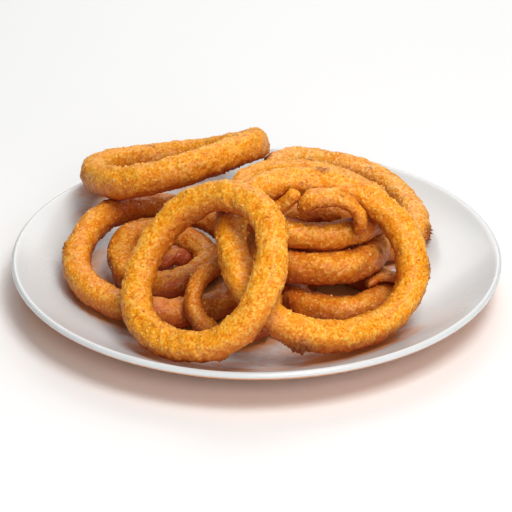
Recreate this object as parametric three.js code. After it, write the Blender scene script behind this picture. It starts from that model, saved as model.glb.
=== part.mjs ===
// Battered, fried onion rings heaped on a round white coupe plate, with a few broken bits between them.
// Millimetres, +Z up, +X to the right of the person served and -Y towards them.
// The origin is the middle of the plate's flat base, on the table.
import * as THREE from "three";

const PLATE_RADIUS = 130;
const PLATE_HEIGHT = 24;
const PLATE_WALL = 5.2;
const FLOOR_RADIUS = 75;
const FLOOR_HEIGHT = 6;
const FOOT_RADIUS = 72;
const FOOT_ROUNDING = 2;
const WALL_STEPS = 9;
const LIP_STEPS = 5;
const PLATE_SIDES = 56;

// Section of a ring: a rounded rectangle, 2 for a plain ellipse and more for a boxier one.
const SECTION_POWER = 2.35;
const SECTION_SIDES = 10;
const LARGE_RING_SIDES = 32;
const SMALL_RING_SIDES = 24;
const LARGE_RING_FROM = 28;
// Uneven batter: how far the thickness swells and shrinks along a ring, as shares of it.
const BATTER_WAVES = [[3, 0.02], [5, 0.015]];
const BIT_LENGTH_STEPS = 10;
const BIT_CAP_STEPS = 3;
const BIT_SIDES = 8;

const CRUST = new THREE.MeshStandardMaterial({ color: 0xd98a2b, roughness: 0.6, metalness: 0 });
const PORCELAIN = new THREE.MeshStandardMaterial({ color: 0xeeede9, roughness: 0.12, metalness: 0 });

// Whole rings. centre is the middle of the ring's centreline. The ring is first turned by bearing in its
// own plane, then tipped by tilt about the line along +X, then turned by turn about the vertical.
// long and wide are half the centreline's lengths, radial and axial half the ring's thickness across and
// through it. warp is how far it is bent out of its plane, highest at warpBearing and across from it, and
// lobes are [count, share of the radius, bearing]. Angles are in degrees.
const RINGS = [
  {
    name: "ring_front_leaning", centre: [-25.6, -81.1, 52.3], turn: -48, tilt: 47, bearing: -4,
    long: 40.5, wide: 40.5, radial: 8.2, axial: 7.9, warp: 0.8, warpBearing: 90,
    lobes: [[3, 0.015, -27], [4, 0.016, -27]],
  },
  {
    name: "ring_top_left", centre: [-45.6, 63, 44.4], turn: -149.5, tilt: 21.5, bearing: 150,
    long: 45.5, wide: 45.5, radial: 7.8, axial: 8.8, warp: 2.5, warpBearing: -24,
    lobes: [[3, 0.017, 5], [4, 0.018, -19]],
  },
  {
    name: "ring_left", centre: [-49.5, -9, 21.2], turn: 25, tilt: 10, bearing: -2,
    long: 46, wide: 47, radial: 7.6, axial: 7.4, warp: 0.9, warpBearing: 84,
    lobes: [[3, 0.01, 0], [4, 0.022, 6]],
  },
  {
    name: "ring_right_large", centre: [31, -58.3, 48.1], turn: 28, tilt: 33.5, bearing: -26,
    long: 48, wide: 45.5, radial: 8, axial: 8, warp: 5.4, warpBearing: 43,
    lobes: [[3, 0.052, 4], [4, 0.01, -33]],
  },
  {
    name: "ring_back_outer", centre: [46.5, 48.2, 25.2], turn: 51, tilt: 17, bearing: -45,
    long: 42, wide: 40.5, radial: 7.7, axial: 7.6, warp: 3.8, warpBearing: -24,
    lobes: [[3, 0.019, -40], [4, 0.04, -34]],
  },
  {
    name: "ring_back_inner", centre: [27, 1.1, 50], turn: 90, tilt: 6, bearing: -72.5,
    long: 36, wide: 37.5, radial: 7.4, axial: 7.2, warp: 2, warpBearing: -18,
    lobes: [[3, 0.045, -41], [4, 0.007, -27]],
  },
  {
    name: "ring_middle", centre: [32, -15.5, 34.5], turn: 11.5, tilt: 5, bearing: -3,
    long: 29.5, wide: 29, radial: 8, axial: 8, warp: 2.4, warpBearing: -89,
    lobes: [[3, 0.014, -45], [4, 0.008, 4]],
  },
  {
    name: "ring_low_right", centre: [42.8, -32.3, 14.9], turn: 125, tilt: 1, bearing: -126,
    long: 24.5, wide: 24, radial: 8, axial: 7.8, warp: 0.5, warpBearing: -58,
    lobes: [[3, 0.002, 0], [4, 0.012, 7]],
  },
  {
    name: "ring_inner_left", centre: [-49.3, -0.9, 17.4], turn: 34, tilt: 9.5, bearing: -6,
    long: 23.5, wide: 24, radial: 7.4, axial: 7.2, warp: 1.8, warpBearing: -72,
    lobes: [[3, 0.02, -21], [4, 0.007, -30]],
  },
  {
    name: "ring_small_inner", centre: [-12, -59.1, 23.6], turn: 12, tilt: 37, bearing: 0,
    long: 20.5, wide: 20.5, radial: 4.6, axial: 5.8, warp: 0.6, warpBearing: -75,
    lobes: [[3, 0.013, -9], [4, 0.005, -43]],
  },
];

// Broken bits, each a short thick bar bent along part of an oval from start to end, in degrees.
const BITS = [
  {
    name: "bit_curl", centre: [37.8, -36.7, 58.5], turn: 0, tilt: 88, bearing: -20,
    long: 15.5, wide: 12.5, start: -8, end: 182, radial: 2.8, axial: 4.6,
  },
  {
    name: "bit_knob", centre: [-44.5, 1, 12.5], turn: 20, tilt: 80, bearing: 0,
    long: 6, wide: 5, start: -20, end: 200, radial: 5, axial: 5.5,
  },
  {
    name: "bit_flake", centre: [67.4, -37, 18.1], turn: 5, tilt: 80, bearing: -4,
    long: 10, wide: 7.5, start: 5, end: 175, radial: 2.4, axial: 4.6,
  },
  {
    name: "bit_stub", centre: [-0.7, -32.1, 85.4], turn: 0, tilt: 90, bearing: 0,
    long: 25, wide: 25, start: -76, end: -32, radial: 3.8, axial: 4,
  },
];

const radians = THREE.MathUtils.degToRad;

// Height of the plate's eating surface at a distance from its middle: a flat floor, then a rising curve.
function platterHeight(radius) {
  const share = Math.max(0, radius - FLOOR_RADIUS) / (PLATE_RADIUS - FLOOR_RADIUS);
  return FLOOR_HEIGHT + (PLATE_HEIGHT - FLOOR_HEIGHT) * share * share;
}

function platterSlope(radius) {
  const share = Math.max(0, radius - FLOOR_RADIUS) / (PLATE_RADIUS - FLOOR_RADIUS);
  return (2 * (PLATE_HEIGHT - FLOOR_HEIGHT) * share) / (PLATE_RADIUS - FLOOR_RADIUS);
}

// A point of the wall's upper or lower skin, squarely below the eating surface by depth.
function wallPoint(radius, depth) {
  const lean = Math.atan(platterSlope(radius));
  return new THREE.Vector2(radius + depth * Math.sin(lean), platterHeight(radius) - depth * Math.cos(lean));
}

function plateGeometry() {
  const profile = [new THREE.Vector2(0, 0), new THREE.Vector2(FOOT_RADIUS - FOOT_ROUNDING, 0)];
  profile.push(new THREE.Vector2(FOOT_RADIUS, FOOT_ROUNDING));
  const wallEnd = PLATE_RADIUS - PLATE_WALL;
  for (let step = 1; step <= WALL_STEPS; step += 1) {
    profile.push(wallPoint(THREE.MathUtils.lerp(FLOOR_RADIUS, wallEnd, step / WALL_STEPS), PLATE_WALL));
  }
  const lipLean = Math.atan(platterSlope(wallEnd));
  const lipMiddle = wallPoint(wallEnd, PLATE_WALL / 2);
  for (let step = 1; step < LIP_STEPS; step += 1) {
    const turn = lipLean - Math.PI / 2 + (Math.PI * step) / LIP_STEPS;
    const reach = new THREE.Vector2(Math.cos(turn), Math.sin(turn)).multiplyScalar(PLATE_WALL / 2);
    profile.push(lipMiddle.clone().add(reach));
  }
  for (let step = WALL_STEPS; step >= 0; step -= 1) {
    profile.push(wallPoint(THREE.MathUtils.lerp(FLOOR_RADIUS, wallEnd, step / WALL_STEPS), 0));
  }
  profile.push(new THREE.Vector2(0, FLOOR_HEIGHT));
  return new THREE.LatheGeometry(profile, PLATE_SIDES).rotateX(Math.PI / 2);
}

// The centreline of a ring or bit at an angle, in its own plane.
function centreline(piece, angle) {
  let swell = 1;
  for (const [count, share, bearing] of piece.lobes ?? []) {
    swell += share * Math.cos(count * (angle - radians(bearing)));
  }
  const lift = (piece.warp ?? 0) * Math.cos(2 * (angle - radians(piece.warpBearing ?? 0)));
  return new THREE.Vector3(
    piece.long * Math.cos(angle) * swell,
    piece.wide * Math.sin(angle) * swell,
    lift,
  );
}

// A point of the crust: out from the centreline across and through the ring. across and through run
// round a unit circle on the skin and shrink to 0 at a bit's tips.
function crustPoint(piece, angle, across, through) {
  const step = 0.01;
  const along = centreline(piece, angle + step).sub(centreline(piece, angle - step)).normalize();
  const outward = along.clone().cross(new THREE.Vector3(0, 0, 1)).normalize();
  const upward = outward.clone().cross(along);
  const reach = Math.hypot(across, through);
  let batter = 1;
  for (const [count, share] of BATTER_WAVES) {
    batter += share * Math.cos(count * angle + piece.centre[0]);
  }
  const square = (part) => Math.sign(part) * Math.abs(part / (reach || 1)) ** (2 / SECTION_POWER) * reach;
  return centreline(piece, angle)
    .addScaledVector(outward, square(across) * piece.radial * batter)
    .addScaledVector(upward, square(through) * piece.axial * batter);
}

// Moves every vertex of a plain geometry to its place on the crust.
function reshape(geometry, place) {
  const position = geometry.attributes.position;
  const vertex = new THREE.Vector3();
  for (let index = 0; index < position.count; index += 1) {
    vertex.fromBufferAttribute(position, index);
    const moved = place(vertex);
    position.setXYZ(index, moved.x, moved.y, moved.z);
  }
  return geometry;
}

function ringGeometry(piece) {
  const plainRadius = 2;
  const sides = piece.long > LARGE_RING_FROM ? LARGE_RING_SIDES : SMALL_RING_SIDES;
  const torus = new THREE.TorusGeometry(plainRadius, 1, SECTION_SIDES, sides);
  return reshape(torus, ({ x, y, z }) => {
    const across = Math.hypot(x, y) - plainRadius;
    return crustPoint(piece, Math.atan2(y, x), across, z);
  });
}

function bitGeometry(piece) {
  const plainRadius = 1;
  const plainHeight = 4;
  const plainLength = plainHeight + 2 * plainRadius;
  const capsule = new THREE.CapsuleGeometry(
    plainRadius,
    plainHeight,
    BIT_CAP_STEPS,
    BIT_SIDES,
    BIT_LENGTH_STEPS,
  );
  return reshape(capsule, ({ x, y, z }) => {
    const share = y / plainLength + 0.5;
    const angle = THREE.MathUtils.lerp(piece.start, piece.end, share);
    return crustPoint(piece, radians(angle), x, z);
  });
}

function lay(piece, geometry) {
  const mesh = new THREE.Mesh(geometry.rotateZ(radians(piece.bearing)), CRUST);
  mesh.name = piece.name;
  mesh.position.set(...piece.centre);
  mesh.rotation.set(radians(piece.tilt), 0, radians(piece.turn), "ZXY");
  return mesh;
}

const plate = new THREE.Mesh(plateGeometry(), PORCELAIN);
plate.name = "plate";

const heap = new THREE.Group();
for (const ring of RINGS) {
  heap.add(lay(ring, ringGeometry(ring)));
}
for (const bit of BITS) {
  heap.add(lay(bit, bitGeometry(bit)));
}

const platedRings = new THREE.Group();
platedRings.add(plate, heap);

export default platedRings;
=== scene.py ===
"""Battered onion rings heaped on a round white coupe plate.

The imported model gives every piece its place. The crust of each ring and broken bit, the glazed plate, the
loose crumbs and the browned flecks are modelled here round it. Lengths are in metres, and in millimetres
where a field says so.
"""
import logging
import math
import random
from dataclasses import dataclass, field
from enum import Enum

import bmesh
import bpy
from mathutils import Matrix, Vector, noise
from mathutils.bvhtree import BVHTree
from mathutils.kdtree import KDTree


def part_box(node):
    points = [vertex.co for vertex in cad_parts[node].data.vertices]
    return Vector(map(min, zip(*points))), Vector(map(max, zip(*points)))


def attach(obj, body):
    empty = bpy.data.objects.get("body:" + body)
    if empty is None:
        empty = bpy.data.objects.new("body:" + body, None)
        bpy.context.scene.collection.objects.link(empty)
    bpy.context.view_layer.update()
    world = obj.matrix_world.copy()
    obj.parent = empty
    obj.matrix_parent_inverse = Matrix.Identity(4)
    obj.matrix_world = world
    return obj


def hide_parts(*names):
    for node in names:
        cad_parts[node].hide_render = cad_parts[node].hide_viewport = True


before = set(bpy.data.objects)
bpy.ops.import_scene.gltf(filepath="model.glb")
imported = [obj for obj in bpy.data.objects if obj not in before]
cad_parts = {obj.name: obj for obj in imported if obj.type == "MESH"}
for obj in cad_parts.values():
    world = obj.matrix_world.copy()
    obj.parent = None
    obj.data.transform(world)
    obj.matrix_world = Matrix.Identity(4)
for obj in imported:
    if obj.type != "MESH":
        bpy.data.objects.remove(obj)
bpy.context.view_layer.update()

MM = 0.001
BODY = "root"
MERGE_DISTANCE = 1e-5
FLAT_JOIN = math.radians(40)
SQUARE_JOIN = math.radians(70)
SEED_STEPS = (37.3, 11.9, -23.1)
MIX_COLOURS = (6, 7)
MIX_RESULT = 2

Colour = tuple[float, float, float]
Range = tuple[float, float]

log = logging.getLogger("plated_onion_rings")


class Slot(Enum):
    """The record's material slots."""

    BATTER = "batter"
    PORCELAIN = "porcelain"


class Tone(Enum):
    """How far a piece of batter is fried."""

    PALE = "pale"
    GOLDEN = "golden"
    AMBER = "amber"
    BROWNED = "browned"


# ---------------------------------------------------------------------------------------------------
# Shader helpers
# ---------------------------------------------------------------------------------------------------


class Shader:
    """A node tree with short ways to add and link its nodes."""

    def __init__(self, tree: bpy.types.NodeTree) -> None:
        """Keeps the tree that the nodes go into.

        Args:
            tree: A material's or a group's node tree.
        """
        self.tree = tree

    def add(self, kind: str, inputs: dict | None = None, **settings: object) -> bpy.types.Node:
        """Adds one node.

        Args:
            kind: The node's type name, without its ShaderNode prefix.
            inputs: A value or an output socket for each named or numbered input.
            **settings: The node's own properties.

        Returns:
            The new node.
        """
        node = self.tree.nodes.new("ShaderNode" + kind)
        for name, value in settings.items():
            setattr(node, name, value)
        for key, value in (inputs or {}).items():
            if isinstance(value, bpy.types.NodeSocket):
                self.tree.links.new(value, node.inputs[key])
            else:
                node.inputs[key].default_value = value
        return node

    def noise(self, place: bpy.types.NodeSocket, scale: float, detail: float = 2.0) -> bpy.types.NodeSocket:
        """Adds a noise texture.

        Args:
            place: The coordinates to read.
            scale: Features in a metre.
            detail: Octaves of finer noise.

        Returns:
            The noise's value, from 0 to 1.
        """
        texture = self.add("TexNoise", {"Vector": place, "Scale": scale, "Detail": detail})
        return texture.outputs["Fac"]

    def ramp(self, value: bpy.types.NodeSocket, low: float, high: float) -> bpy.types.NodeSocket:
        """Stretches a value so that low becomes 0 and high becomes 1, with soft ends.

        Args:
            value: The value to stretch.
            low: The value that becomes 0.
            high: The value that becomes 1.

        Returns:
            The stretched value.
        """
        node = self.add("MapRange", {"Value": value, "From Min": low, "From Max": high},
                        interpolation_type="SMOOTHSTEP")
        return node.outputs["Result"]

    def math(self, operation: str, first: object, second: object) -> bpy.types.NodeSocket:
        """Adds a math node and returns its clamped value."""
        return self.add("Math", {0: first, 1: second}, operation=operation, use_clamp=True).outputs[0]

    def mix(self, share: object, first: object, second: object) -> bpy.types.NodeSocket:
        """Mixes two colours.

        Args:
            share: How much of the second colour shows.
            first: A colour or a colour socket.
            second: A colour or a colour socket.

        Returns:
            The mixed colour.
        """
        node = self.add("Mix", {0: share}, data_type="RGBA")
        for index, value in zip(MIX_COLOURS, (first, second)):
            if isinstance(value, bpy.types.NodeSocket):
                self.tree.links.new(value, node.inputs[index])
            else:
                node.inputs[index].default_value = (*value, 1.0)
        return node.outputs[MIX_RESULT]


@dataclass(frozen=True)
class Mottle:
    """Where fried batter is pale or spotted, with painted highlights on raised grains and painted shade in
    the low places. Scales are features in a metre.
    """

    fine: float = 1250.0
    tiny: float = 2600.0
    broad: float = 75.0
    floury: float = 120.0
    scattered: float = 210.0
    relief_share: float = 0.52
    fine_share: float = 0.52
    grain_shares: Range = (0.6, 0.4)
    highlight_range: Range = (0.52, 0.63)
    shade_range: Range = (0.51, 0.68)
    patch_range: Range = (0.50, 0.74)
    pale_range: Range = (0.54, 0.72)
    spot_range: Range = (0.67, 0.74)

    def group(self) -> bpy.types.NodeTree:
        """Builds the node group, once.

        Returns:
            The group, which every batter material shares.
        """
        name = "batter_mottle"
        if name in bpy.data.node_groups:
            return bpy.data.node_groups[name]
        group = bpy.data.node_groups.new(name, "ShaderNodeTree")
        group.interface.new_socket("Place", in_out="INPUT", socket_type="NodeSocketVector")
        group.interface.new_socket("Relief", in_out="INPUT", socket_type="NodeSocketFloat")
        for output in ("PaintedHighlight", "PaintedShade", "Patch", "Pale", "Spot", "Grain"):
            group.interface.new_socket(output, in_out="OUTPUT", socket_type="NodeSocketFloat")
        shader = Shader(group)
        given = group.nodes.new("NodeGroupInput").outputs
        result = group.nodes.new("NodeGroupOutput")
        fine = shader.noise(given["Place"], self.fine, detail=2.0)
        tiny = shader.noise(given["Place"], self.tiny, detail=1.0)
        broad = shader.noise(given["Place"], self.broad, detail=3.0)
        floury = shader.noise(given["Place"], self.floury, detail=2.0)
        scattered = shader.noise(given["Place"], self.scattered, detail=2.0)
        raised = shader.math("ADD", shader.math("MULTIPLY", given["Relief"], self.relief_share),
                             shader.math("MULTIPLY", fine, self.fine_share))
        coarse_share, tiny_share = self.grain_shares
        outputs = {
            # PaintedHighlight marks raised grains for a painted highlight; PaintedShade marks the low
            # places for painted shade.
            "PaintedHighlight": shader.ramp(raised, *self.highlight_range),
            "PaintedShade": shader.ramp(shader.math("SUBTRACT", 1.0, raised), *self.shade_range),
            "Patch": shader.ramp(broad, *self.patch_range),
            "Pale": shader.ramp(floury, *self.pale_range),
            "Spot": shader.ramp(scattered, *self.spot_range),
            "Grain": shader.math("ADD", shader.math("MULTIPLY", fine, coarse_share),
                                 shader.math("MULTIPLY", tiny, tiny_share)),
        }
        for key, value in outputs.items():
            group.links.new(value, result.inputs[key])
        return group


@dataclass(frozen=True)
class BatterFinish:
    """Fried batter: a golden crust with browned patches, pale painted highlights on its raised grains, and
    deeper painted shade in its hollows and wherever it is covered.
    """

    tone: Tone
    crust: Colour = (0.90, 0.330, 0.005)
    pale: Colour = (0.94, 0.49, 0.085)
    grain_highlight: Colour = (0.97, 0.56, 0.090)
    hollow_shade: Colour = (0.68, 0.160, 0.004)
    painted_shade: Colour = (0.33, 0.026, 0.007)
    brown: Colour = (0.22, 0.050, 0.009)
    patch: Colour = (0.76, 0.235, 0.012)
    grain_highlight_share: float = 0.70
    hollow_shade_share: float = 0.85
    patch_share: float = 0.60
    pale_share: float = 0.55
    spot_share: float = 0.55
    painted_shade_share: float = 0.92
    gloss: float = 0.20
    gloss_roughness: float = 0.20
    sheen: float = 0.22
    roughness: Range = (0.38, 0.62)
    bump_strength: float = 0.40
    bump_height: float = 0.30 * MM
    glow: float = 0.16
    glow_spread: Colour = (1.0, 0.35, 0.10)
    glow_depth: float = 3 * MM
    mottle: Mottle = Mottle()

    def material(self) -> bpy.types.Material:
        """Builds the material.

        Returns:
            The material, which reads Object coordinates, the piece's relief and browning, and its depth for
            the painted shade.
        """
        material = bpy.data.materials.new(f"batter_{self.tone.value}")
        material.use_nodes = True
        shader = Shader(material.node_tree)
        surface = material.node_tree.nodes["Principled BSDF"]
        place = shader.add("TexCoord").outputs["Object"]
        relief = shader.add("Attribute", attribute_name="relief").outputs["Fac"]
        browning = shader.add("Attribute", attribute_name="browning").outputs["Fac"]
        depth = shader.add("Attribute", attribute_name="depth").outputs["Fac"]
        mottle = shader.add("Group", node_tree=self.mottle.group())
        material.node_tree.links.new(place, mottle.inputs["Place"])
        material.node_tree.links.new(relief, mottle.inputs["Relief"])
        out = mottle.outputs
        colour = shader.mix(shader.math("MULTIPLY", out["Patch"], self.patch_share), self.crust, self.patch)
        colour = shader.mix(shader.math("MULTIPLY", out["Pale"], self.pale_share), colour, self.pale)
        # Painted shade in the low places between the grains.
        colour = shader.mix(shader.math("MULTIPLY", out["PaintedShade"], self.hollow_shade_share), colour, self.hollow_shade)
        # Painted highlight on the raised grains.
        colour = shader.mix(shader.math("MULTIPLY", out["PaintedHighlight"], self.grain_highlight_share), colour, self.grain_highlight)
        # Painted shade: red-brown wherever the piece is covered from above (the depth attribute).
        colour = shader.mix(shader.math("MULTIPLY", depth, self.painted_shade_share), colour, self.painted_shade)
        spots = shader.math("MULTIPLY", out["Spot"], self.spot_share)
        colour = shader.mix(shader.math("MAXIMUM", spots, browning), colour, self.brown)
        rough = shader.add("MapRange", {
            "Value": out["Grain"], "To Min": self.roughness[0], "To Max": self.roughness[1],
        }).outputs["Result"]
        bump = shader.add("Bump", {
            "Height": out["Grain"], "Strength": self.bump_strength, "Distance": self.bump_height,
        })
        links = material.node_tree.links
        links.new(colour, surface.inputs["Base Color"])
        links.new(rough, surface.inputs["Roughness"])
        links.new(bump.outputs["Normal"], surface.inputs["Normal"])
        surface.inputs["Subsurface Weight"].default_value = self.glow
        surface.inputs["Subsurface Radius"].default_value = self.glow_spread
        surface.inputs["Subsurface Scale"].default_value = self.glow_depth
        surface.inputs["Specular IOR Level"].default_value = self.sheen
        surface.inputs["Coat Weight"].default_value = self.gloss
        surface.inputs["Coat Roughness"].default_value = self.gloss_roughness
        return material


@dataclass(frozen=True)
class GlazeFinish:
    """White glazed porcelain, tinted brown wherever it is covered from above: a painted shadow and
    reflection of the heap.

    The underside and the outside of the wall are covered too, so they take the same painted tint.
    """

    body: Colour = (0.700, 0.722, 0.728)
    warm: Colour = (0.688, 0.702, 0.700)
    painted_shadow: Colour = (0.66, 0.270, 0.085)
    roughness: Range = (0.22, 0.28)
    coat: float = 0.15
    coat_roughness: float = 0.12
    cloud_scale: float = 22.0
    cloud_range: Range = (0.35, 0.70)
    shadow_range: Range = (0.32, 0.85)

    def material(self) -> bpy.types.Material:
        """Builds the material, with the faint unevenness that a glaze has.

        Returns:
            The material, which reads Object coordinates and how covered each place is.
        """
        material = bpy.data.materials.new("porcelain_glaze")
        material.use_nodes = True
        shader = Shader(material.node_tree)
        surface = material.node_tree.nodes["Principled BSDF"]
        place = shader.add("TexCoord").outputs["Object"]
        cloud = shader.ramp(shader.noise(place, self.cloud_scale, detail=3.0), *self.cloud_range)
        rough = shader.add("MapRange", {
            "Value": cloud, "To Min": self.roughness[0], "To Max": self.roughness[1],
        }).outputs["Result"]
        # depth sets the painted shadow and reflection of the heap on the glaze.
        depth = shader.add("Attribute", attribute_name="depth").outputs["Fac"]
        shadowed = shader.ramp(depth, *self.shadow_range)
        glaze = shader.mix(cloud, self.body, self.warm)
        links = material.node_tree.links
        links.new(shader.mix(shadowed, glaze, self.painted_shadow), surface.inputs["Base Color"])
        links.new(rough, surface.inputs["Roughness"])
        surface.inputs["Coat Weight"].default_value = self.coat
        surface.inputs["Coat Roughness"].default_value = self.coat_roughness
        return material


BATTERS = {
    Tone.PALE: BatterFinish(Tone.PALE, crust=(0.90, 0.36, 0.022), grain_highlight=(0.96, 0.58, 0.20),
                            grain_highlight_share=0.85, patch_share=0.45),
    Tone.GOLDEN: BatterFinish(Tone.GOLDEN),
    Tone.AMBER: BatterFinish(Tone.AMBER, crust=(0.83, 0.280, 0.005), grain_highlight=(0.96, 0.52, 0.09),
                             grain_highlight_share=0.72, patch_share=0.75),
    Tone.BROWNED: BatterFinish(Tone.BROWNED, crust=(0.36, 0.095, 0.014), grain_highlight=(0.66, 0.24, 0.04),
                               patch=(0.20, 0.05, 0.010), spot_share=0.8),
}


# ---------------------------------------------------------------------------------------------------
# Mesh helpers
# ---------------------------------------------------------------------------------------------------


def add_piece(name: str, mesh: bpy.types.Mesh, replaced: str | None = None) -> bpy.types.Object:
    """Puts a finished mesh in the scene as a piece of the object.

    Args:
        name: The piece's name.
        mesh: Its mesh, already in its place.
        replaced: The node that it stands for, if it stands for one.

    Returns:
        The new object.
    """
    mesh.name = name
    piece = bpy.data.objects.new(name, mesh)
    bpy.context.scene.collection.objects.link(piece)
    for polygon in mesh.polygons:
        polygon.use_smooth = True
    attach(piece, BODY)
    if replaced:
        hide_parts(replaced)
    log.info("%s: %d faces", name, len(mesh.polygons))
    return piece


def store(mesh: bpy.types.Mesh, name: str, values: list[float]) -> None:
    """Keeps one number for each vertex of a mesh, for its material to read."""
    mesh.attributes.new(name, "FLOAT", "POINT").data.foreach_set("value", values)


# ---------------------------------------------------------------------------------------------------
# The plate
# ---------------------------------------------------------------------------------------------------


@dataclass
class CoupePlate:
    """A round plate with a flat floor, a rising wall without a rim, and a foot ring.

    The foot's root and corner are shares of the radius that rounds it.
    """

    floor_radius: float = 75 * MM
    floor_height: float = 6 * MM
    flare_radius: float = 130 * MM
    flare_height: float = 24 * MM
    edge_radius: float = 127.3 * MM
    wall: float = 5.2 * MM
    edge_wall: float = 3.6 * MM
    foot_radius: float = 70 * MM
    foot_width: float = 4.5 * MM
    foot_recess: float = 1.6 * MM
    foot_round: float = 0.8 * MM
    foot_root: float = 1.6
    foot_corner: float = 0.3
    floor_steps: int = 36
    wall_steps: int = 36
    edge_steps: int = 8
    turns: int = 240
    finish: GlazeFinish = field(default_factory=GlazeFinish)

    def height(self, radius: float) -> float:
        """Height of the eating surface at a distance from the middle."""
        share = max(0.0, radius - self.floor_radius) / (self.flare_radius - self.floor_radius)
        return self.floor_height + (self.flare_height - self.floor_height) * share * share

    def lean(self, radius: float) -> float:
        """Angle of the eating surface.

        Args:
            radius: The distance from the middle.

        Returns:
            The angle from level, in radians.
        """
        span = self.flare_radius - self.floor_radius
        share = max(0.0, radius - self.floor_radius) / span
        return math.atan(2 * (self.flare_height - self.floor_height) * share / span)

    def skin(self, radius: float, depth: float) -> Vector:
        """A point of the plate's section, squarely below the eating surface by depth."""
        lean = self.lean(radius)
        return Vector((radius + depth * math.sin(lean), 0, self.height(radius) - depth * math.cos(lean)))

    def thickness(self, share: float) -> float:
        """Thickness of the wall, from the floor's edge at 0 to the plate's edge at 1."""
        return self.wall + (self.edge_wall - self.wall) * share * share

    def profile(self) -> list[Vector]:
        """Draws the section, from the middle of the floor out, over the edge and back underneath.

        Returns:
            The section's points, in order.
        """
        steps = [step / self.wall_steps for step in range(self.wall_steps + 1)]
        reach = [self.floor_radius + (self.edge_radius - self.floor_radius) * share for share in steps]
        points = [Vector((self.floor_radius * step / self.floor_steps, 0, self.floor_height))
                  for step in range(self.floor_steps)]
        points += [self.skin(radius, 0) for radius in reach]
        bead = self.edge_wall / 2
        middle = self.skin(self.edge_radius, bead)
        for step in range(1, self.edge_steps):
            turn = self.lean(self.edge_radius) + math.pi / 2 - math.pi * step / self.edge_steps
            points.append(middle + Vector((math.cos(turn) * bead, 0, math.sin(turn) * bead)))
        points += [self.skin(radius, self.thickness(share)) for radius, share in
                   reversed(list(zip(reach, steps))) if share > 0]
        outer, inner = self.foot_radius, self.foot_radius - self.foot_width
        root = self.foot_round * self.foot_root
        corner = self.foot_round * self.foot_corner
        points += [
            Vector((outer + self.foot_round, 0, root)),
            Vector((outer, 0, corner)),
            Vector((outer - self.foot_round, 0, 0)),
            Vector((inner + self.foot_round, 0, 0)),
            Vector((inner, 0, corner)),
            Vector((inner - self.foot_round, 0, self.foot_recess)),
            Vector((0, 0, self.foot_recess)),
        ]
        return points

    def build(self, sky: "SkyShade") -> bpy.types.Object:
        """Spins the section into the plate and glazes it.

        Args:
            sky: What covers the plate from above.

        Returns:
            The plate, which stands for the plate node.
        """
        bm = bmesh.new()
        line = [bm.verts.new(point) for point in self.profile()]
        edges = [bm.edges.new(pair) for pair in zip(line, line[1:])]
        bmesh.ops.spin(bm, geom=line + edges, axis=(0, 0, 1), cent=(0, 0, 0), angle=math.tau,
                       steps=self.turns, use_merge=True)
        bmesh.ops.remove_doubles(bm, verts=bm.verts, dist=MERGE_DISTANCE)
        bmesh.ops.recalc_face_normals(bm, faces=bm.faces)
        mesh = bpy.data.meshes.new("glazed_plate")
        bm.to_mesh(mesh)
        bm.free()
        # Painted shadow and reflection: the plate is tinted brown wherever it is covered from above.
        store(mesh, "depth", sky.shade_amounts(mesh, every=1, nearest=1))
        mesh.materials.append(self.finish.material())
        return add_piece("glazed_plate", mesh, "plate")


# ---------------------------------------------------------------------------------------------------
# The fried batter
# ---------------------------------------------------------------------------------------------------


@dataclass(frozen=True)
class CrustRelief:
    """How far the batter stands up from the ring beneath it. Sizes are in millimetres."""

    lump_width: float = 9.0
    lump_height: float = 0.85
    knob_width: float = 3.3
    knob_height: float = 0.44
    grit_width: float = 1.25
    grit_height: float = 0.29
    nodule_width: float = 2.7
    nodule_height: float = 0.60
    nodule_reach: float = 0.36
    nodule_share: float = 0.5
    nodule_scatter: float = 5.7
    lump_fractal: tuple[float, float, int] = (1.0, 2.0, 2)
    grit_fractal: tuple[float, float, int] = (0.5, 2.1, 2)
    raised_base: float = 0.46
    raised_grit: float = 0.42
    raised_nodule: float = 0.40
    raised_knob: float = 0.22

    def nodule(self, point: Vector) -> float:
        """Reads the small round nodules of batter.

        Args:
            point: The point, in millimetres.

        Returns:
            How far up a nodule the point lies, from 0 to 1.
        """
        distances, centres = noise.voronoi(point / self.nodule_width)
        kept = noise.noise(centres[0] * self.nodule_scatter)
        if kept < 0.5 - self.nodule_share:
            return 0.0
        return max(0.0, 1.0 - (distances[0] / self.nodule_reach) ** 2)

    def at(self, point: Vector, seed: Vector) -> tuple[float, float]:
        """Reads the relief at a point.

        Args:
            point: The point, in millimetres.
            seed: Where in the noise this piece starts.

        Returns:
            The height in millimetres, and how raised the grain is there, from 0 to 1.
        """
        lump = noise.fractal((point + seed) / self.lump_width, *self.lump_fractal)
        knob = noise.noise((point - seed) / self.knob_width)
        grit = noise.fractal((point + seed) / self.grit_width, *self.grit_fractal)
        nodule = self.nodule(point + seed)
        height = self.lump_height * lump + self.knob_height * knob + self.grit_height * grit
        height += self.nodule_height * nodule
        # How raised a place is sets its painted highlight or painted shade in the material.
        raised = self.raised_base + self.raised_grit * grit
        raised += self.raised_nodule * nodule + self.raised_knob * knob
        return height, min(1.0, max(0.0, raised))


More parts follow.
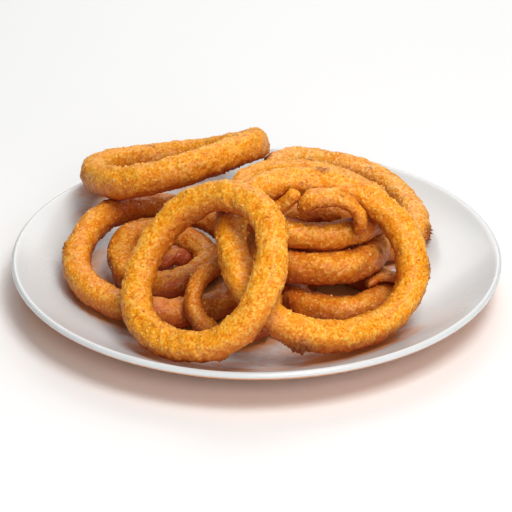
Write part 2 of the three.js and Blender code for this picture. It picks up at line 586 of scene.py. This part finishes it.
class SkyShade:
    """How open each place on the heap is to the air above it, which sets the painted shade of covered
    places.
    """

    def __init__(self, directions: int = 26, clearance: float = 1.5 * MM, reach: float = 0.2,
                 fully_open: float = 0.72, falloff: float = 0.88, blend: float = 0.2 * MM) -> None:
        """Takes in every solid of the frame.

        Args:
            directions: How many directions of the sky are tried from each place.
            clearance: How far off the skin a try starts.
            reach: How far away a solid still covers the place.
            fully_open: The share of the sky's light from which a place counts as in the open.
            falloff: The power that shapes the way from open to covered.
            blend: The distance that keeps a tried place from outweighing all its neighbours.
        """
        self.clearance = clearance
        self.reach = reach
        self.fully_open = fully_open
        self.falloff = falloff
        self.blend = blend
        corners, faces = [], []
        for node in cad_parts.values():
            first = len(corners)
            corners += [vertex.co.copy() for vertex in node.data.vertices]
            faces += [[first + index for index in polygon.vertices] for polygon in node.data.polygons]
        self.solids = BVHTree.FromPolygons(corners, faces)
        golden_turn = math.pi * (3 - math.sqrt(5))
        self.directions = []
        for index in range(directions):
            height = (index + 0.5) / directions
            across = math.sqrt(1 - height * height)
            turn = index * golden_turn
            self.directions.append(Vector((across * math.cos(turn), across * math.sin(turn), height)))
        self.whole = sum(direction.z for direction in self.directions)

    def open_share(self, place: Vector, normal: Vector) -> float:
        """Measures how much of the light of an open sky reaches a place.

        Args:
            place: The place.
            normal: The direction that its surface faces.

        Returns:
            The share, from 0 to about 1.
        """
        start = place + normal * self.clearance
        total = 0.0
        for direction in self.directions:
            facing = normal.dot(direction)
            if facing > 0 and self.solids.ray_cast(start, direction, self.reach)[0] is None:
                total += facing
        return total / self.whole

    def shade_amounts(self, mesh: bpy.types.Mesh, every: int = 22, nearest: int = 4) -> list[float]:
        """Measures how covered each vertex of a mesh is, for its painted shade.

        Args:
            mesh: The mesh.
            every: One vertex in this many is tried, and the rest follow their neighbours.
            nearest: How many tried vertices each vertex follows.

        Returns:
            A depth for each vertex, from 0 in the open to 1 where it is covered.
        """
        tried = range(0, len(mesh.vertices), every)
        tree = KDTree(len(tried))
        values = {}
        for index in tried:
            vertex = mesh.vertices[index]
            share = min(1.0, self.open_share(vertex.co, vertex.normal) / self.fully_open)
            values[index] = (1 - share) ** self.falloff
            tree.insert(vertex.co, index)
        tree.balance()
        shade_amounts = []
        for vertex in mesh.vertices:
            found = tree.find_n(vertex.co, nearest)
            weights = [1 / (distance + self.blend) for _, _, distance in found]
            total = sum(weight * values[index] for weight, (_, index, _) in zip(weights, found))
            shade_amounts.append(total / sum(weights))
        return shade_amounts


@dataclass(frozen=True)
class Tatter:
    """A ragged place where batter ran and fried brown. Sizes are in millimetres."""

    towards: tuple[float, float, float]
    width: float = 6.0
    height: float = 1.6
    browning: float = 0.85
    coarse_width: float = 1.3
    fine_width: float = 0.6
    cover: float = 0.5
    coarse_share: float = 0.9
    fine_share: float = 0.4
    rise: float = 1.8
    stain_rise: float = 2.2
    stain_base: float = 0.35

    def at(self, point: Vector, seed: Vector, away: float) -> tuple[float, float]:
        """Reads the tatter at a point.

        Args:
            point: The point, in millimetres.
            seed: Where in the noise this piece starts.
            away: How far the point lies from the tatter's middle, in metres.

        Returns:
            The height in millimetres, and how browned the batter is there, from 0 to 1.
        """
        near = 1.0 - away / (self.width * MM)
        if near <= 0:
            return 0.0, 0.0
        coarse = self.coarse_share * noise.noise(point / self.coarse_width + seed)
        fine = self.fine_share * noise.noise(point / self.fine_width - seed)
        share = min(1.0, near * self.rise) * max(0.0, self.cover + coarse + fine)
        stain = min(1.0, near * self.stain_rise) * min(1.0, self.stain_base + share)
        return self.height * share, self.browning * stain


@dataclass(frozen=True)
class FriedPiece:
    """One battered ring or broken bit, made over its plain solid."""

    node: str
    tone: Tone
    seed: int
    swell: float = 0.3
    right_swell: float | None = None
    relief: CrustRelief = CrustRelief()
    tatters: tuple[Tatter, ...] = ()
    grid: float = 0.52
    rounding: int = 2
    plate_gap: float = 0.05

    def plain(self) -> bpy.types.Mesh:
        """Copies the node's mesh, merged into quads and swelled to make up for its rounding off.

        Returns:
            The copy.
        """
        bm = bmesh.new()
        bm.from_mesh(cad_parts[self.node].data)
        bmesh.ops.remove_doubles(bm, verts=bm.verts, dist=MERGE_DISTANCE)
        bmesh.ops.join_triangles(bm, faces=bm.faces, angle_face_threshold=FLAT_JOIN,
                                 angle_shape_threshold=SQUARE_JOIN)
        bm.normal_update()
        low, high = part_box(self.node)
        right_swell = self.swell if self.right_swell is None else self.right_swell
        for vertex in bm.verts:
            share = (vertex.co.x - low[0]) / (high[0] - low[0])
            vertex.co += vertex.normal * (self.swell + (right_swell - self.swell) * share) * MM
        mesh = bpy.data.meshes.new(self.node + "_plain")
        bm.to_mesh(mesh)
        bm.free()
        return mesh

    def fine(self) -> bpy.types.Mesh:
        """Rounds the piece and lays an even, fine skin over it.

        Returns:
            The skin.
        """
        rough = bpy.data.objects.new(self.node + "_rough", self.plain())
        bpy.context.scene.collection.objects.link(rough)
        rounded = rough.modifiers.new("rounded", "SUBSURF")
        rounded.levels = rounded.render_levels = self.rounding
        skin = rough.modifiers.new("skin", "REMESH")
        skin.mode = "VOXEL"
        skin.voxel_size = self.grid * MM
        bpy.context.view_layer.update()
        mesh = bpy.data.meshes.new_from_object(rough.evaluated_get(bpy.context.evaluated_depsgraph_get()))
        plain = rough.data
        bpy.data.objects.remove(rough)
        bpy.data.meshes.remove(plain)
        return mesh

    def tips(self, mesh: bpy.types.Mesh) -> list[tuple[Tatter, Vector]]:
        """Finds the middle of each tatter, where the piece reaches furthest in the tatter's direction.

        Args:
            mesh: The piece's skin.

        Returns:
            Each tatter with its middle.
        """
        low, high = (Vector(corner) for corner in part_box(self.node))
        middle = (low + high) / 2
        found = []
        for tatter in self.tatters:
            aim = Vector(tatter.towards).normalized()
            tip = max(mesh.vertices, key=lambda vertex: (vertex.co - middle).dot(aim))
            found.append((tatter, tip.co.copy()))
        return found

    def build(self, plate: CoupePlate, sky: SkyShade) -> bpy.types.Object:
        """Raises the batter on the piece and dresses it.

        Args:
            plate: The plate that the piece may not sink into.
            sky: What covers the piece from above.

        Returns:
            The piece, which stands for its node.
        """
        mesh = self.fine()
        seed = Vector([self.seed * step for step in SEED_STEPS])
        normals = [vertex.normal.copy() for vertex in mesh.vertices]
        # How covered each place is, which sets its painted shade.
        shade_amounts = sky.shade_amounts(mesh)
        tips = self.tips(mesh)
        relief, browning = [], []
        for vertex, normal in zip(mesh.vertices, normals):
            point = vertex.co / MM
            height, raised = self.relief.at(point, seed)
            brown = 0.0
            for tatter, tip in tips:
                ragged, stain = tatter.at(point, seed, (vertex.co - tip).length)
                height += ragged
                brown = max(brown, stain)
            vertex.co += normal * height * MM
            floor = plate.height(math.hypot(vertex.co.x, vertex.co.y)) + self.plate_gap * MM
            vertex.co.z = max(vertex.co.z, floor)
            relief.append(raised)
            browning.append(brown)
        # relief sets the painted highlight and painted shade of the grains; depth sets the painted shade of
        # covered places.
        store(mesh, "relief", relief)
        store(mesh, "browning", browning)
        store(mesh, "depth", shade_amounts)
        mesh.materials.clear()
        mesh.materials.append(bpy.data.materials[f"batter_{self.tone.value}"])
        return add_piece(self.node + "_crust", mesh, self.node)


@dataclass
class Heap:
    """All the rings and broken bits, as they lie on the plate."""

    pieces: tuple[FriedPiece, ...] = (
        FriedPiece("ring_front_leaning", Tone.GOLDEN, 1, 0.0, tatters=(
            Tatter((0.45, -0.3, -1), 5, 1.3, 0.5), Tatter((-0.6, -0.3, -1), 4, 0.9, 0.5),
        )),
        FriedPiece("ring_top_left", Tone.GOLDEN, 2, tatters=(Tatter((-1, -0.25, 0.2), 5, 0.8, 0.5),)),
        FriedPiece("ring_left", Tone.AMBER, 3, tatters=(Tatter((-1, 0, 0.3), 4, 1.4, 0.6),)),
        FriedPiece("ring_right_large", Tone.GOLDEN, 4, tatters=(
            Tatter((-0.15, -1, -0.75), 9, 2.4, 0.85), Tatter((1, 0.05, -0.1), 9, 0.8, 0.65),
            Tatter((0.15, 0.35, 1), 6, 1.2, 0.7),
        )),
        FriedPiece("ring_back_outer", Tone.PALE, 5, tatters=(Tatter((1, -0.3, -0.1), 7, 2.6, 0.9),)),
        FriedPiece("ring_back_inner", Tone.GOLDEN, 6),
        FriedPiece("ring_middle", Tone.AMBER, 7, 0.6),
        FriedPiece("ring_low_right", Tone.AMBER, 8, 0.6),
        FriedPiece("ring_inner_left", Tone.AMBER, 9, 0.6),
        FriedPiece("ring_small_inner", Tone.AMBER, 10, tatters=(Tatter((-1, -0.6, -0.4), 4, 1.4, 0.8),)),
        FriedPiece("bit_curl", Tone.AMBER, 11, 2.4, 0.9),
        FriedPiece("bit_knob", Tone.BROWNED, 12, 0.6),
        FriedPiece("bit_flake", Tone.PALE, 13, 0.6),
        FriedPiece("bit_stub", Tone.GOLDEN, 14, 0.6),
    )

    def build(self, plate: CoupePlate, sky: SkyShade) -> list[bpy.types.Object]:
        """Builds every piece.

        Args:
            plate: The plate that the heap lies on.
            sky: What covers each place from above.

        Returns:
            The pieces' objects.
        """
        for finish in BATTERS.values():
            finish.material()
        return [piece.build(plate, sky) for piece in self.pieces]


@dataclass(frozen=True)
class CrumbScatter:
    """Crumbs of batter that stick to the crust. Sizes are in millimetres."""

    name: str
    tone: Tone
    count: int
    smallest: float
    largest: float
    seed: int
    faces_up: float = -0.2
    smallness: int = 3
    narrowing: Range = (0.6, 1)
    flattening: Range = (0.5, 0.8)
    lift: float = 0.15
    lump_width: float = 0.8
    lump_height: float = 0.28
    raised: float = 0.75

    def build(self, crusts: list[bpy.types.Object]) -> bpy.types.Object:
        """Scatters the crumbs over the crust.

        Args:
            crusts: The pieces that the crumbs stick to.

        Returns:
            The crumbs, as one piece.
        """
        draw = random.Random(self.seed)
        bm = bmesh.new()
        weights = [len(crust.data.vertices) for crust in crusts]
        placed = 0
        while placed < self.count:
            mesh = draw.choices(crusts, weights)[0].data
            vertex = mesh.vertices[draw.randrange(len(mesh.vertices))]
            size = self.smallest + (self.largest - self.smallest) * draw.random() ** self.smallness
            if vertex.normal.z < self.faces_up:
                continue
            placed += 1
            lie = vertex.normal.to_track_quat("Z", "Y").to_matrix().to_4x4()
            spin = Matrix.Rotation(draw.uniform(0, math.tau), 4, "Z")
            shape = Matrix.Diagonal((1, draw.uniform(*self.narrowing), draw.uniform(*self.flattening), 1))
            middle = vertex.co + vertex.normal * size * self.lift * MM
            place = Matrix.Translation(middle) @ lie @ spin @ shape
            bmesh.ops.create_icosphere(bm, subdivisions=1, radius=size * MM, matrix=place)
        bm.normal_update()
        for vertex in bm.verts:
            lump = noise.noise(vertex.co / (self.lump_width * MM))
            vertex.co += vertex.normal * lump * self.lump_height * MM
        mesh = bpy.data.meshes.new(self.name)
        bm.to_mesh(mesh)
        bm.free()
        # The crumbs count as raised, so they take the painted highlight.
        store(mesh, "relief", [self.raised] * len(mesh.vertices))
        store(mesh, "browning", [0.0] * len(mesh.vertices))
        # The crumbs get no painted shade from cover.
        store(mesh, "depth", [0.0] * len(mesh.vertices))
        mesh.materials.append(bpy.data.materials[f"batter_{self.tone.value}"])
        return add_piece(self.name, mesh)


CRUMBS = (
    CrumbScatter("loose_crumbs", Tone.PALE, 420, 0.35, 0.9, 21, faces_up=0.0),
    CrumbScatter("browned_crumbs", Tone.BROWNED, 110, 0.3, 0.8, 22),
)


# ---------------------------------------------------------------------------------------------------
# The studio
# ---------------------------------------------------------------------------------------------------


@dataclass(frozen=True)
class SoftLight:
    """A square soft light aimed at the middle of the plate."""

    name: str
    place: tuple[float, float, float]
    size: float
    power: float
    colour: Colour = (1.0, 1.0, 1.0)


@dataclass
class Studio:
    """A pale floor, soft lights and the camera."""

    target: Vector = field(default_factory=lambda: Vector((-0.00026, 0.0, 0.01834)))
    distance: float = 1.1
    elevation: float = math.radians(27.63)
    lens: float = 144.9
    floor_size: float = 12.0
    floor_drop: float = 0.3 * MM
    floor_roughness: float = 0.9
    floor_colour: Colour = (0.94, 0.94, 0.94)
    air_colour: Colour = (1.0, 1.0, 1.0)
    ambient: float = 0.17
    lights: tuple[SoftLight, ...] = (
        SoftLight("top_light", (0.30, -0.42, 1.12), 0.50, 8.9, (1.0, 0.99, 0.97)),
        SoftLight("front_light", (0.24, -1.14, 0.64), 0.6, 6.3),
        SoftLight("back_light", (0.05, 0.90, 0.85), 1.0, 7.2),
    )

    def build(self) -> None:
        """Builds the floor, the lights, the ambient light and the camera."""
        self.lay_floor()
        for light in self.lights:
            self.hang(light)
        world = bpy.data.worlds.new("studio_air")
        world.use_nodes = True
        background = world.node_tree.nodes["Background"]
        background.inputs["Color"].default_value = (*self.air_colour, 1.0)
        background.inputs["Strength"].default_value = self.ambient
        bpy.context.scene.world = world
        bpy.context.scene.view_settings.view_transform = "Standard"
        self.set_camera()

    def lay_floor(self) -> None:
        """Lays the plain pale floor."""
        bm = bmesh.new()
        bmesh.ops.create_grid(bm, x_segments=1, y_segments=1, size=self.floor_size / 2)
        mesh = bpy.data.meshes.new("studio_floor")
        bm.to_mesh(mesh)
        bm.free()
        material = bpy.data.materials.new("floor_card")
        material.use_nodes = True
        surface = material.node_tree.nodes["Principled BSDF"]
        surface.inputs["Base Color"].default_value = (*self.floor_colour, 1.0)
        surface.inputs["Roughness"].default_value = self.floor_roughness
        mesh.materials.append(material)
        floor = bpy.data.objects.new("studio_floor", mesh)
        floor.location.z = -self.floor_drop
        bpy.context.scene.collection.objects.link(floor)

    def hang(self, light: SoftLight) -> None:
        """Hangs one soft light and aims it at the plate.

        Args:
            light: The light.
        """
        data = bpy.data.lights.new(light.name, "AREA")
        data.size = light.size
        data.energy = light.power
        data.color = light.colour
        lamp = bpy.data.objects.new(light.name, data)
        lamp.location = light.place
        lamp.rotation_euler = (self.target - lamp.location).to_track_quat("-Z", "Y").to_euler()
        bpy.context.scene.collection.objects.link(lamp)

    def set_camera(self) -> None:
        """Sets the camera in front of the plate, looking down on it."""
        data = bpy.data.cameras.new("front_camera")
        data.lens = self.lens
        camera = bpy.data.objects.new("front_camera", data)
        back = Vector((0, -math.cos(self.elevation), math.sin(self.elevation)))
        camera.location = self.target + back * self.distance
        camera.rotation_euler = (math.pi / 2 - self.elevation, 0, 0)
        bpy.context.scene.collection.objects.link(camera)
        bpy.context.scene.camera = camera


def main() -> None:
    """Builds the plate, the heap, the crumbs and the studio, in that order."""
    sky = SkyShade()
    plate = CoupePlate()
    plate.build(sky)
    crusts = Heap().build(plate, sky)
    for crumbs in CRUMBS:
        crumbs.build(crusts)
    Studio().build()


if __name__ == "__main__":
    logging.basicConfig(level=logging.INFO, format="%(name)s: %(message)s")
    main()
